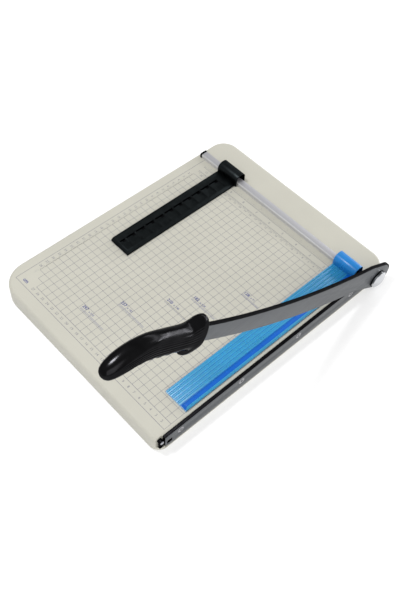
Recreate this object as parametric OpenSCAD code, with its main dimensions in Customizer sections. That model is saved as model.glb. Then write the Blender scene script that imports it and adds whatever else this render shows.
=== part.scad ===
// Guillotine paper cutter: a moulded base with a printed deck, a guide rail along the far side,
// a sliding back stop, a hinged paper hold-down, a fixed blade and a pivoted blade arm.
//
// The shapes are drawn in cutter coordinates: X = 0 is the cutting plane, with the deck on the
// -X side, Y = 0 is the zero line of the printed scale, with the guide rail at the far +Y side,
// and Z = 0 is the deck. place() then moves everything so that the origin is at the centre of
// the base, on the table.

/* [Base] */
// Width of the base, across the cutting plane
base_w = 315; // [305:1:330]
// Height of the moulded base, without its feet
base_h = 25; // [24:0.5:32]
// Distance from the zero line of the scale to the near face of the base
near_margin = 29; // [28:0.5:32]
// Distance from the zero line of the scale to the far face of the base
far_margin = 376; // [374:0.5:380]
// Radius of the base's top edge
edge_r = 4; // [2:0.5:6]
// Thickness of the base's deck and outer walls
shell_t = 3; // [2.5:0.1:3.5]
// Height of the rubber feet below the base
foot_h = 3; // [2:0.5:5]

/* [Blades] */
// Angle of the blade arm above level, as drawn
arm_angle = 33; // [6:1:45]
// Angle of the blade arm when it is fully closed
closed_angle = 5.9; // [5:0.1:7]
// Thickness of the blade arm
arm_t = 4; // [3:0.5:5]
// Running gap between the two blades
shear_gap = 0.2; // [0.1:0.05:0.3]
// Thickness of the fixed blade
blade_t = 4.5; // [4:0.5:5]
// Height of the fixed blade's cutting edge above the deck
blade_rise = 2; // [1:0.5:3]
// Distance of the pivot axis from the zero line of the scale
pivot_y = 353; // [350:0.5:355]
// Depth of the pivot axis below the deck
pivot_drop = 11.5; // [11:0.1:12]

/* [Guides] */
// Height of the guide rail
rail_h = 6.5; // [6:0.1:7]
// Distance of the guide rail's near face from the zero line of the scale
rail_y = 320.3; // [320.2:0.1:320.5]
// Left end of the stop bar, measured from the cutting plane
stop_left = 269; // [200:1:300]
// Width of the stop bar
stop_w = 34; // [30:1:36]
// Width of the hold-down over the deck
hold_w = 35.5; // [33:0.5:36]
// Wall thickness of the hooks that run over the rail
hook_wall = 2.4; // [2:0.1:2.6]

/* [Handle] */
// Length of the handle, from the guard's front face to its tip
handle_len = 123; // [115:1:130]
// Half of the handle's width across the blade
grip_half_w = 11.5; // [10:0.5:12]

/* [Hidden] */

$fn = 64;
eps = 1;           // overshoot of a cutting shape past the face that it cuts
fit_gap = 0.05;    // radial running clearance of pins and shafts
rest_gap = 0.3;    // gap below a part that rests on the deck

// Colours
beige = [0.84, 0.82, 0.76];
graphite = [0.12, 0.12, 0.13];
steel = [0.45, 0.46, 0.49];
bright = [0.85, 0.86, 0.88];
brass_tone = [0.78, 0.62, 0.30];
clear_blue = [0.15, 0.50, 0.85, 0.8];
alloy = [0.76, 0.77, 0.78];

// Base outline: corner radii and the corner centres that follow from them
corner_r = [14.5, 23, 24, 36];  // near right, far right, far left, near left
function corners(left, right, near, far, r) = [
    [right - r[0], near + r[0], r[0]],
    [right - r[1], far - r[1], r[1]],
    [left + r[2], far - r[2], r[2]],
    [left + r[3], near + r[3], r[3]],
];
base_corners = corners(-base_w, 0, -near_margin, far_margin, corner_r);
side_wall = 14;                 // thickness of the base beside the fixed blade
hollow_r = [8, 8, 21, 33];
hollow_corners = corners(shell_t - base_w, -side_wall, shell_t - near_margin,
                         far_margin - shell_t, hollow_r);
hollow_top = -shell_t;
rib_t = 2;
rib_pitch = 41;
rib_depth = 5;                  // how far the ribs hang below the deck
rib_right = -42;                // the ribs leave the strip beside the blade free for its nuts
boss_r = 9;

// Feet: four screwed on near the corners, and a plain pad under the centre of the deck
centre_x = -base_w / 2;
centre_y = (far_margin - near_margin) / 2;
centre_place = [centre_x, centre_y];
foot_r = 8;
foot_places = [[-288, -2], [-32, -2], [-288, 328], [-32, 328]];
foot_screw_r = 1.7;
foot_head_r = 3.4;
foot_head_h = 1.6;

// Guide rail
rail_w = 9.9;
rail_left = -306;
rail_right = -14.5;
rail_mid_y = rail_y + rail_w / 2;
rail_cap_t = 3;
rail_screw_r = 1.5;
rail_screw_head_h = 2;
rail_grip = 4;                  // how far the screws reach up into the rail
rail_boss_r = 4.5;
rail_boss_bottom = -7;
rail_screw_places = [for (i = [0:3]) -64.5 - 68.3 * i];

// Fixed blade
blade_near = -17.5;
blade_far = 365;
blade_h = 24;
blade_bottom = blade_rise - blade_h;
blade_screw_y = [6.5, 104.5, 204.5, 304];
blade_screw_z = -8;
blade_screw_r = 2.5;
blade_head_r = 4.5;
blade_head_h = 2.4;
window_corner = [-14.6, -16];   // near lower corner of the latch window
window_size = [7.7, 6.7];
strip_t = 3;
strip_x = -side_wall - strip_t;
blade_nut_t = 4;

// Pivot, from the outside inwards
pivot_z = -pivot_drop;
table_z = -base_h - foot_h;
bush_r = 7;
bolt_r = 5;
washer_t = 1.5;
arm_x = shear_gap;
bush_end = arm_x + arm_t + fit_gap;
head_x = bush_end + washer_t;
head_r = 12.5;
head_rim = 2.4;
head_dome = 4;
pivot_plate_t = 4;
pivot_plate_bottom = 2 - base_h;
pivot_plate_h = 18;
spring_stack = 4;
nut_washer_t = 1.6;
nut_t = 8;
nut_r = 8.66;
plate_x = -side_wall - pivot_plate_t;
stack_x = plate_x - spring_stack;
washer_x = stack_x - nut_washer_t;
nut_x = washer_x - nut_t;
bolt_end = nut_x - 4;
plate_screw_y = [pivot_y - 11, pivot_y + 9];
plate_screw_z = -20;

// Blade arm, in its own frame: the pivot is at the origin and the arm runs along -Y
spine_centre = [-318, 1242.5];
spine_r = 1253.5;
edge_centre = [-274, 1209];
edge_arc_r = 1244.5;
plate_end = 392.5;
tang_end = 462;
grip_z = -21.7;
tang_h = 16;
heel_gap = 0.8;                 // table clearance of the heel's stop flat at full opening
heel_reach = pivot_z - table_z - heel_gap;
full_open = 45;                 // angle of the arm above level at full opening
heel_r = 24;                    // radius of the heel's upper side, about the pivot
heel_low_r = heel_reach - 0.4;  // radius of its lower side, which passes close to the table
heel_top_corner = [-36, 20.1];  // where the heel's upper side meets the spine
heel_low_corner = [-46, -12.9]; // where its lower side meets the cutting edge
long_arc_sides = 720;

// Lock latch, in the cut-away corner of the base
latch_y = -21.4;
latch_z = -6.8;
latch_t = 3;
latch_x = -4;
latch_head_r = 3.3;
latch_reach = 6.5;
stud_r = 1.8;
latch_slot_r = stud_r + rest_gap;
latch_rest = 170;               // angle of the stowed latch from its upright, locked place
pocket_x = -6.5;
pocket_floor = -18.5;
rivet_r = 1.5;
stud_end = latch_x - 0.2;
// The stud meets the upright latch when the arm is closed; this is its place on the arm
stud_dy = latch_y - pivot_y;
stud_dz = latch_z + latch_reach - pivot_z;
stud_y = stud_dy * cos(closed_angle) - stud_dz * sin(closed_angle);
stud_z = stud_dy * sin(closed_angle) + stud_dz * cos(closed_angle);

// Hooks over the rail: one profile for the stop bar and for the hold-down
hook_front = 316.6;
hook_back = 335;
hook_top = 17.8;
hook_r = 8.5;
hook_back_r = 5;
lip_r = 1.2;
lip_y = hook_back - lip_r;
lip_z = rest_gap + lip_r;

// Stop bar
stop_near = 120.5;
stop_t = 5;
stop_hook_left = -stop_left;
stop_hook_w = 37.5;
cell_start = 4;
cell_pitch = 16.8;
cell_count = 11;
cell_l = 13.6;
cell_w = 17;
cell_left = 12;
cell_depth = 2;

// Hold-down
hold_near = 22.5;
hold_right = -10;
hold_t = 3;
flute_pitch = 5;
flute_depth = 0.8;
ridge_w = 9;
ridge_h = 5.5;
hold_hook_left = -46.5;
hold_hook_w = 36;

// Handle: how far the centre line bends down, and the body's half sizes along its length
bend_start = 66;
bend_rate = 0.0068;
ring_sides = 24;
guard_len = 24;
// The guard: distance from its front face, half heights above and below the centre line, and
// half width as a share of the grip's
guard_stations = [
    [0, 20, 8, 0.78],
    [1.5, 24, 13, 0.96],
    [4, 26, 17, 1.04],
    [9, 25.3, 22, 1.04],
    [13, 22.5, 20.3, 1.03],
    [17, 19.8, 13.5, 1],
    [guard_len, 17, 9.6, 1],
];
// The grip: share of the way from the guard to the tip, then as above
grip_stations = [
    [0.16, 16.2, 10, 1],
    [0.36, 16.2, 10.8, 1],
    [0.57, 15.5, 9.4, 1],
    [0.77, 12.8, 8.8, 0.97],
    [0.89, 9.3, 9, 0.83],
    [0.96, 6, 7, 0.57],
    [1, 2.2, 2.2, 0.19],
];
stations = concat(
    guard_stations,
    [for (s = grip_stations) [guard_len + s[0] * (handle_len - guard_len), s[1], s[2], s[3]]]
);
guard_face = 384.4;
grip_x = 3;
handle_screw_d = [26, 62];
handle_screw_r = 2;
handle_head_r = 3.6;
handle_head_depth = 3;

// ---------------------------------------------------------------- helpers

// Moves cutter coordinates to the part's own frame
module place() {
    translate([-centre_x, -centre_y, -table_z]) children();
}

// Stands the blade arm's own frame at the pivot, at its rest angle
module on_arm() {
    translate([0, pivot_y, pivot_z])
        rotate([-arm_angle, 0, 0])
            children();
}

// Extrudes an outline drawn in Y and Z along X, from x0 for length t
module slab(x0, t) {
    translate([x0, 0, 0])
        rotate([90, 0, 90])
            linear_extrude(t)
                children();
}

// A cylinder along +X that starts at x
module rod(x, y, z, l, r, r2 = -1) {
    translate([x, y, z])
        rotate([0, 90, 0])
            cylinder(h = l, r1 = r, r2 = r2 < 0 ? r : r2);
}

// A flat ring along +X
module ring(x, y, z, l, r, bore) {
    difference() {
        rod(x, y, z, l, r);
        rod(x - eps, y, z, l + 2 * eps, bore);
    }
}

// A hexagon prism along +X, with flats on top and bottom
module hex(x, y, z, l, r) {
    translate([x, y, z])
        rotate([0, 90, 0])
            rotate([0, 0, 30])
                cylinder(h = l, r = r, $fn = 6);
}

// A rectangle whose four corners have their own radii
module rounded_outline(c) {
    for (p = c)
        translate([p[0], p[1]])
            circle(r = p[2]);
    polygon([
        [c[0][0] + c[0][2], c[0][1]],
        [c[1][0] + c[1][2], c[1][1]],
        [c[1][0], c[1][1] + c[1][2]],
        [c[2][0], c[2][1] + c[2][2]],
        [c[2][0] - c[2][2], c[2][1]],
        [c[3][0] - c[3][2], c[3][1]],
        [c[3][0], c[3][1] - c[3][2]],
        [c[0][0], c[0][1] - c[0][2]],
    ]);
}

// ---------------------------------------------------------------- base

// One corner of the base, with the rounded top edge
module corner_post(p) {
    translate([p[0], p[1], -base_h]) {
        cylinder(h = base_h - edge_r, r = p[2], $fn = 64);
        translate([0, 0, base_h - edge_r])
            rotate_extrude($fn = 64)
                intersection() {
                    translate([p[2] - edge_r, 0])
                        circle(r = edge_r, $fn = 32);
                    square([p[2], edge_r]);
                }
        cylinder(h = base_h, r = p[2] - edge_r, $fn = 64);
    }
}

module base_block() {
    hull()
        for (p = base_corners)
            corner_post(p);
}

// The ribs under the deck
module ribs() {
    for (x = [rib_right - rib_t:-rib_pitch:-300])
        translate([x - rib_t / 2, -near_margin, hollow_top - rib_depth])
            cube([rib_t, near_margin + far_margin, base_h]);
    for (y = [16:rib_pitch:350])
        translate([-base_w, y - rib_t / 2, hollow_top - rib_depth])
            cube([base_w + rib_right, rib_t, base_h]);
}

// The open space under the deck, between the ribs and the bosses
module hollow() {
    difference() {
        translate([0, 0, -base_h - eps])
            linear_extrude(base_h + eps + hollow_top)
                rounded_outline(hollow_corners);
        ribs();
        for (p = concat(foot_places, [centre_place]))
            translate([p[0], p[1], -base_h - 2 * eps])
                cylinder(h = base_h + eps, r = boss_r);
        for (x = rail_screw_places)
            translate([x, rail_mid_y, rail_boss_bottom])
                cylinder(h = eps - rail_boss_bottom, r = rail_boss_r);
    }
}

module base_shell() {
    color(beige)
        difference() {
            base_block();
            hollow();
            // seat of the fixed blade
            translate([-blade_t, blade_near, blade_bottom])
                cube([blade_t + eps, blade_far - blade_near, blade_h]);
            // pocket of the lock latch
            translate([pocket_x, -near_margin - eps, pocket_floor])
                cube([eps - pocket_x, near_margin + eps + blade_near, eps - pocket_floor]);
            // screw and bolt holes
            for (y = blade_screw_y)
                rod(-side_wall - eps, y, blade_screw_z, side_wall + eps, blade_screw_r + 0.2);
            rod(-side_wall - eps, pivot_y, pivot_z, side_wall + eps, bolt_r + 0.3);
            for (y = plate_screw_y)
                rod(-side_wall - eps, y, plate_screw_z, 7 + eps, 1.5);
            rod(pocket_x - 5, latch_y, latch_z, 5 + eps, rivet_r);
            for (p = foot_places)
                translate([p[0], p[1], -base_h - eps])
                    cylinder(h = 11, r = foot_screw_r);
            for (x = rail_screw_places)
                translate([x, rail_mid_y, rail_boss_bottom - eps])
                    cylinder(h = 2 * eps - rail_boss_bottom, r = rail_screw_r + 0.2);
        }
}

module foot_pad() {
    cylinder(h = foot_h, r1 = foot_r - 0.6, r2 = foot_r);
}

module rubber_feet() {
    color(graphite) {
        for (p = foot_places)
            translate([p[0], p[1], table_z])
                difference() {
                    foot_pad();
                    translate([0, 0, -eps])
                        cylinder(h = foot_h + 2 * eps, r = foot_screw_r + 0.1);
                    translate([0, 0, -eps])
                        cylinder(h = eps + foot_head_h + 0.4, r = foot_head_r + 0.2);
                }
        translate([centre_x, centre_y, table_z])
            foot_pad();
    }
}

module foot_screws() {
    color(bright)
        for (p = foot_places)
            translate([p[0], p[1], table_z + 0.4])
                difference() {
                    union() {
                        cylinder(h = foot_head_h, r = foot_head_r);
                        cylinder(h = 11, r = foot_screw_r);
                    }
                    for (a = [0, 90])
                        rotate(a)
                            translate([-2, -0.4, -eps])
                                cube([4, 0.8, eps + 0.9]);
                }
}

// ---------------------------------------------------------------- guide rail

module guide_rail() {
    chamfer = 1.1;
    color(alloy)
        difference() {
            slab(rail_left, rail_right - rail_left)
                polygon([
                    [rail_y, 0],
                    [rail_y + rail_w, 0],
                    [rail_y + rail_w, rail_h],
                    [rail_y + chamfer, rail_h],
                    [rail_y, rail_h - chamfer],
                ]);
            for (x = rail_screw_places)
                translate([x, rail_mid_y, -eps])
                    cylinder(h = eps + rail_grip + 0.2, r = rail_screw_r);
        }
}

module rail_end_caps() {
    lip = 0.5;
    color(graphite)
        for (x = [rail_left - rail_cap_t, rail_right])
            slab(x, rail_cap_t)
                polygon([
                    [rail_y - lip, 0],
                    [rail_y + rail_w + lip, 0],
                    [rail_y + rail_w + lip, rail_h],
                    [rail_y + rail_w, rail_h + lip],
                    [rail_y + 1, rail_h + lip],
                    [rail_y - lip, rail_h - 1],
                ]);
}

module rail_screws() {
    head_h = rail_screw_head_h;
    color(bright)
        for (x = rail_screw_places)
            translate([x, rail_mid_y, rail_boss_bottom - head_h])
                difference() {
                    union() {
                        cylinder(h = head_h, r = 3);
                        cylinder(h = head_h - rail_boss_bottom + rail_grip, r = rail_screw_r);
                    }
                    for (a = [0, 90])
                        rotate(a)
                            translate([-1.8, -0.35, -eps])
                                cube([3.6, 0.7, eps + 0.9]);
                }
}

// ---------------------------------------------------------------- fixed blade

// Blade section across the cutting plane, with the ground chamfer under the cutting edge
module blade_section() {
    bevel = 0.8;
    polygon([
        [-blade_t, blade_bottom],
        [0, blade_bottom],
        [0, blade_rise - bevel],
        [-bevel, blade_rise],
        [-blade_t, blade_rise],
    ]);
}

module fixed_blade() {
    color(steel)
        difference() {
            translate([0, blade_far, 0])
                rotate([90, 0, 0])
                    linear_extrude(blade_far - blade_near)
                        blade_section();
            // chamfered lower near corner
            slab(-blade_t - eps, blade_t + 2 * eps)
                polygon([
                    [blade_near - eps, blade_bottom - eps],
                    [blade_near + 8.5, blade_bottom - eps],
                    [blade_near + 8.5, blade_bottom],
                    [blade_near, blade_bottom + 5],
                    [blade_near - eps, blade_bottom + 5],
                ]);
            // window
            translate([-blade_t - eps, window_corner[0], window_corner[1]])
                cube([blade_t + 2 * eps, window_size[0], window_size[1]]);
            // countersunk screw holes
            for (y = blade_screw_y) {
                rod(-blade_t - eps, y, blade_screw_z, blade_t + 2 * eps, blade_screw_r + 0.1);
                rod(-blade_head_h - 0.1, y, blade_screw_z, blade_head_h + 0.1,
                    blade_screw_r + 0.1, blade_head_r + 0.1);
            }
            rod(-blade_t - eps, pivot_y, pivot_z, blade_t + 2 * eps, bolt_r + fit_gap);
        }
}

module blade_screws() {
    tip = strip_x - blade_nut_t - 2;
    color(bright)
        for (y = blade_screw_y)
            difference() {
                union() {
                    rod(-blade_head_h - 0.1, y, blade_screw_z, blade_head_h, blade_screw_r, blade_head_r);
                    rod(tip, y, blade_screw_z, -tip - blade_head_h, blade_screw_r);
                }
                for (a = [0, 90])
                    translate([-1.3, y, blade_screw_z])
                        rotate([a, 0, 0])
                            translate([0, -2.6, -0.45])
                                cube([3, 5.2, 0.9]);
            }
}

module backing_strip() {
    strip_h = 14;
    color(steel)
        difference() {
            translate([strip_x, blade_screw_y[0] - 12, blade_screw_z - strip_h / 2])
                cube([strip_t, blade_screw_y[3] - blade_screw_y[0] + 24, strip_h - 2.5]);
            for (y = blade_screw_y)
                rod(strip_x - eps, y, blade_screw_z, strip_t + 2 * eps, blade_screw_r + 0.1);
        }
}

module blade_nuts() {
    color(bright)
        for (y = blade_screw_y)
            difference() {
                hex(strip_x - blade_nut_t, y, blade_screw_z, blade_nut_t, 4.6);
                rod(strip_x - blade_nut_t - eps, y, blade_screw_z, blade_nut_t + 2 * eps,
                    blade_screw_r);
            }
}

// ---------------------------------------------------------------- pivot

module pivot_plate() {
    color(steel)
        difference() {
            translate([plate_x, pivot_y - 16, pivot_plate_bottom])
                cube([pivot_plate_t, 28, pivot_plate_h]);
            rod(plate_x - eps, pivot_y, pivot_z, pivot_plate_t + 2 * eps, bolt_r + fit_gap);
            for (y = plate_screw_y)
                rod(plate_x - eps, y, plate_screw_z, pivot_plate_t + 2 * eps, 1.7);
        }
}

module plate_screws() {
    color(bright)
        for (y = plate_screw_y)
            difference() {
                union() {
                    rod(plate_x - 2, y, plate_screw_z, 2, 2.7);
                    rod(plate_x, y, plate_screw_z, pivot_plate_t + 7, 1.5);
                }
                translate([plate_x - 3, y - 1.8, plate_screw_z - 0.35])
                    cube([1.9, 3.6, 0.7]);
            }
}

module pivot_bolt() {
    cap_r = (head_r * head_r + head_dome * head_dome) / (2 * head_dome);
    head_h = head_rim + head_dome;
    color(bright) {
        translate([head_x, pivot_y, pivot_z])
            rotate([0, 90, 0])
                rotate_extrude()
                    intersection() {
                        square([head_r, head_h]);
                        translate([0, head_h - cap_r])
                            circle(r = cap_r, $fn = 180);
                    }
        rod(bolt_end, pivot_y, pivot_z, head_x - bolt_end, bolt_r);
    }
}

module pivot_washer() {
    color(graphite)
        ring(bush_end, pivot_y, pivot_z, washer_t, head_r + 0.6, bolt_r + fit_gap);
}

module pivot_bush() {
    color(brass_tone)
        ring(0, pivot_y, pivot_z, bush_end, bush_r, bolt_r + fit_gap);
}

// Two conical disc springs, back to back, which press the arm against the fixed blade
module disc_springs() {
    half = spring_stack / 2;
    disc_t = 0.9;
    inner = bolt_r + 0.2;
    outer = 8;
    color(steel)
        translate([stack_x, pivot_y, pivot_z])
            rotate([0, 90, 0])
                for (side = [0, 1])
                    translate([0, 0, side * spring_stack])
                        mirror([0, 0, side])
                            rotate_extrude()
                                polygon([
                                    [inner, 0],
                                    [outer, half - disc_t],
                                    [outer, half],
                                    [inner, disc_t],
                                ]);
}

module nut_washer() {
    color(bright)
        ring(washer_x, pivot_y, pivot_z, nut_washer_t, 8.4, bolt_r + 0.15);
}

module pivot_nut() {
    color(bright)
        difference() {
            hex(nut_x, pivot_y, pivot_z, nut_t, nut_r);
            rod(nut_x - eps, pivot_y, pivot_z, nut_t + 2 * eps, bolt_r + fit_gap);
        }
}

// ---------------------------------------------------------------- blade arm

// The heel around the pivot, with the flat that stops the arm at full opening
module heel_outline() {
    difference() {
        hull() {
            circle(r = heel_low_r);
            intersection() {
                circle(r = heel_r, $fn = 96);
                translate([-heel_r, 0])
                    square([2 * heel_r, heel_r]);
            }
            translate(heel_top_corner)
                circle(r = 1, $fn = 24);
            translate(heel_low_corner)
                circle(r = 1.5, $fn = 24);
        }
        rotate(-full_open)
            translate([heel_reach, -60])
                square([60, 120]);
    }
}

// The curved blade between its two long arcs
module sabre_outline() {
    difference() {
        intersection() {
            translate(edge_centre)
                circle(r = edge_arc_r, $fn = long_arc_sides);
            translate([-plate_end, -60])
                square([plate_end + heel_top_corner[0], 120]);
        }
        translate(spine_centre)
            circle(r = spine_r, $fn = long_arc_sides);
    }
}

module blade_arm() {
    color(steel)
        on_arm()
            difference() {
                union() {
                    slab(arm_x, arm_t)
                        heel_outline();
                    slab(arm_x, arm_t)
                        sabre_outline();
                    slab(arm_x, arm_t)
                        translate([-tang_end, grip_z - tang_h / 2])
                            square([tang_end - plate_end + 4, tang_h]);
                }
                rod(arm_x - eps, 0, 0, arm_t + 2 * eps, bush_r + fit_gap);
                rod(arm_x - eps, stud_y, stud_z, arm_t + 2 * eps, stud_r + fit_gap);
                for (d = handle_screw_d)
                    rod(arm_x - eps, -guard_face - d, grip_z, arm_t + 2 * eps, handle_screw_r + 0.1);
            }
}

module lock_stud() {
    color(bright)
        on_arm()
            rod(stud_end, stud_y, stud_z, arm_x + arm_t - 0.2 - stud_end, stud_r);
}

// ---------------------------------------------------------------- handle

// Drop of the handle's centre line, and its slope, at distance d from the guard's face
function bend_drop(d) = bend_rate * pow(max(0, d - bend_start), 2);
function bend_slope(d) = atan(2 * bend_rate * max(0, d - bend_start));
function soft(v) = sign(v) * pow(abs(v), 0.85);

// One ring of the handle's skin
function handle_ring(s) = [
    for (i = [0:ring_sides - 1])
        let (
            turn = 360 * i / ring_sides,
            tilt = bend_slope(s[0]),
            side = s[3] * grip_half_w * soft(cos(turn)),
            rise = (sin(turn) > 0 ? s[1] : s[2]) * soft(sin(turn))
        )
        [
            grip_x + side,
            -guard_face - s[0] - rise * sin(tilt),
            grip_z - bend_drop(s[0]) + rise * cos(tilt),
        ]
];

module handle_skin() {
    points = [for (s = stations) each handle_ring(s)];
    last = (len(stations) - 1) * ring_sides;
    faces = concat(
        [[for (i = [0:ring_sides - 1]) i]],
        [
            for (k = [0:len(stations) - 2])
                for (i = [0:ring_sides - 1])
                    let (a = k * ring_sides + i, b = k * ring_sides + (i + 1) % ring_sides)
                    each [[a, a + ring_sides, b], [b, a + ring_sides, b + ring_sides]]
        ],
        [[for (i = [ring_sides - 1:-1:0]) last + i]]
    );
    polyhedron(points, faces, convexity = 6);
}

module handle() {
    color(graphite)
        on_arm()
            difference() {
                handle_skin();
                translate([arm_x, -plate_end - 0.5, grip_z - 9])
                    cube([arm_t, plate_end - guard_face + 1.5, 22.5]);
                translate([arm_x, -tang_end - 0.5, grip_z - tang_h / 2])
                    cube([arm_t, tang_end - guard_face, tang_h]);
                for (d = handle_screw_d) {
                    rod(grip_x - 20, -guard_face - d, grip_z,
                        20 - grip_half_w + handle_head_depth, handle_head_r);
                    rod(grip_x - 20, -guard_face - d, grip_z, 26, handle_screw_r);
                }
            }
}

module handle_screws() {
    head_x0 = grip_x - grip_half_w + handle_head_depth - 2.2;
    color(bright)
        on_arm()
            for (d = handle_screw_d)
                difference() {
                    union() {
                        rod(head_x0, -guard_face - d, grip_z, 2.2, handle_head_r - 0.2);
                        rod(head_x0, -guard_face - d, grip_z, grip_x + 5 - head_x0, handle_screw_r);
                    }
                    for (a = [0, 90])
                        translate([head_x0 - eps, -guard_face - d, grip_z])
                            rotate([a, 0, 0])
                                translate([0, -2, -0.4])
                                    cube([eps + 1, 4, 0.8]);
                }
}

// ---------------------------------------------------------------- lock latch

// The latch upright, with its axis at the origin and its slot open on the far side
module latch_outline() {
    difference() {
        hull() {
            circle(r = latch_head_r);
            translate([-0.8, latch_reach + 0.7])
                circle(r = 3.9);
        }
        translate([0, latch_reach])
            circle(r = latch_slot_r);
        translate([0, latch_reach - latch_slot_r])
            square([10, 2 * latch_slot_r]);
    }
}

module lock_latch() {
    color(graphite)
        difference() {
            translate([0, latch_y, latch_z])
                rotate([latch_rest, 0, 0])
                    slab(latch_x, latch_t)
                        latch_outline();
            rod(latch_x - eps, latch_y, latch_z, latch_t + 2 * eps, rivet_r + fit_gap);
        }
}

module latch_rivet() {
    head_gap = 0.05;
    rivet_x = latch_x + latch_t + head_gap;
    color(bright) {
        rod(rivet_x, latch_y, latch_z, 0.7, 2.6, 1.9);
        rod(pocket_x - 5, latch_y, latch_z, rivet_x + 5 - pocket_x, rivet_r);
    }
}

module latch_spacer() {
    color(brass_tone)
        ring(pocket_x, latch_y, latch_z, latch_x - pocket_x - fit_gap, 3, rivet_r + fit_gap);
}

// ---------------------------------------------------------------- hooks

// Outside of the hook, seen along the rail
module hook_outside() {
    arc_y = hook_front + hook_r;
    arc_z = hook_top - hook_r;
    back_y = hook_back - hook_back_r;
    translate([hook_front, rest_gap])
        square([hook_back - hook_front, arc_z - rest_gap]);
    translate([arc_y, arc_z])
        circle(r = hook_r);
    translate([arc_y, arc_z - eps])
        square([back_y - arc_y, hook_r + eps]);
    translate([back_y, hook_top - hook_back_r])
        circle(r = hook_back_r);
    translate([back_y - eps, arc_z - eps])
        square([hook_back_r + eps, hook_r - hook_back_r + eps]);
}

// Space inside the hook that the rail runs in
module hook_inside() {
    arc_y = hook_front + hook_r;
    arc_z = hook_top - hook_r;
    inner_r = hook_r - hook_wall;
    inner_back = hook_back - hook_wall;
    translate([hook_front + hook_wall, -eps])
        square([inner_back - hook_front - hook_wall, arc_z + eps]);
    translate([arc_y, arc_z])
        circle(r = inner_r);
    translate([arc_y, arc_z - eps])
        square([inner_back - arc_y, inner_r + eps]);
}

// The whole hook, with the round lip at the foot of its back wall
module hook_profile() {
    difference() {
        hook_outside();
        hook_inside();
        translate([hook_back - hook_wall - eps, -eps])
            square([hook_wall + 2 * eps, lip_z + eps]);
    }
    translate([lip_y, lip_z])
        circle(r = lip_r);
}

// Bent spring strip in the roof of a hook, which rubs on the rail
module leaf(x, w) {
    top = hook_top - hook_wall;
    low = rail_h + rest_gap;
    slab(x, w)
        polygon([
            [rail_y + 0.6, top - 2.8],
            [rail_y + 5.1, low],
            [rail_y + 6.7, low],
            [rail_y + 11.9, top - 0.6],
            [rail_y + 11.3, top - 0.3],
            [rail_y + 6.4, low + 0.6],
            [rail_y + 5.4, low + 0.6],
            [rail_y + 1.2, top - 2.4],
        ]);
}

module stop_bar() {
    bar_left = stop_hook_left + 1;
    cell_x = bar_left + cell_left;
    cell_floor = rest_gap + stop_t - cell_depth;
    color(graphite) {
        difference() {
            translate([bar_left, stop_near, rest_gap])
                cube([stop_w, hook_front + hook_wall - stop_near, stop_t]);
            for (i = [0:cell_count - 1])
                translate([cell_x, stop_near + cell_start + i * cell_pitch, cell_floor])
                    cube([cell_w, cell_l, cell_depth + eps]);
        }
        slab(stop_hook_left, stop_hook_w)
            hook_profile();
    }
}

module stop_spring() {
    color(steel)
        leaf(stop_hook_left + stop_hook_w / 2 - 5, 10);
}

// Section of the hold-down across its length: shallow flutes and a raised ridge
module hold_section() {
    left = hold_right - hold_w;
    ridge_left = hold_right - ridge_w;
    difference() {
        translate([left, rest_gap])
            square([hold_w, hold_t]);
        for (i = [0:4])
            translate([left + 2 + i * flute_pitch, rest_gap + hold_t - flute_depth])
                square([flute_pitch - 1.2, flute_depth + eps]);
    }
    polygon([
        [ridge_left, rest_gap + hold_t - 0.5],
        [ridge_left, rest_gap + hold_t],
        [ridge_left + 2, rest_gap + ridge_h],
        [hold_right - 2, rest_gap + ridge_h],
        [hold_right, rest_gap + hold_t],
        [hold_right, rest_gap + hold_t - 0.5],
    ]);
}

module hold_down() {
    color(clear_blue) {
        difference() {
            translate([0, hook_front + 1, 0])
                rotate([90, 0, 0])
                    linear_extrude(hook_front + 1 - hold_near)
                        hold_section();
            // mitred near end of the ridge
            translate([hold_right - ridge_w, hold_near - eps, rest_gap + hold_t])
                rotate([-38, 0, 0])
                    translate([-eps, -20, 0])
                        cube([ridge_w + 2 * eps, 26, 10]);
        }
        slab(hold_hook_left, hold_hook_w)
            hook_profile();
    }
}

module hold_spring() {
    color(steel)
        leaf(hold_hook_left + hold_hook_w / 2 - 5, 10);
}

// ---------------------------------------------------------------- parts

place() base_shell();
place() rubber_feet();
place() foot_screws();
place() guide_rail();
place() rail_end_caps();
place() rail_screws();
place() fixed_blade();
place() blade_screws();
place() backing_strip();
place() blade_nuts();
place() pivot_plate();
place() plate_screws();
place() pivot_bolt();
place() pivot_washer();
place() pivot_bush();
place() disc_springs();
place() nut_washer();
place() pivot_nut();
place() latch_rivet();
place() latch_spacer();
place() lock_latch();
place() blade_arm();
place() handle();
place() handle_screws();
place() lock_stud();
place() stop_bar();
place() stop_spring();
place() hold_down();
place() hold_spring();
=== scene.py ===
"""Looks of the guillotine paper cutter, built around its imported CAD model.

Shapes are written in millimetres in cutter coordinates: X = 0 is the cutting plane, with the deck
on the -X side, Y = 0 is the zero line of the printed scale, with the rail at the far +Y side, and
Z = 0 is the deck. at() turns them into the frame's metres.
"""

import math

import bmesh
import bpy
from mathutils import Matrix, Vector


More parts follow.
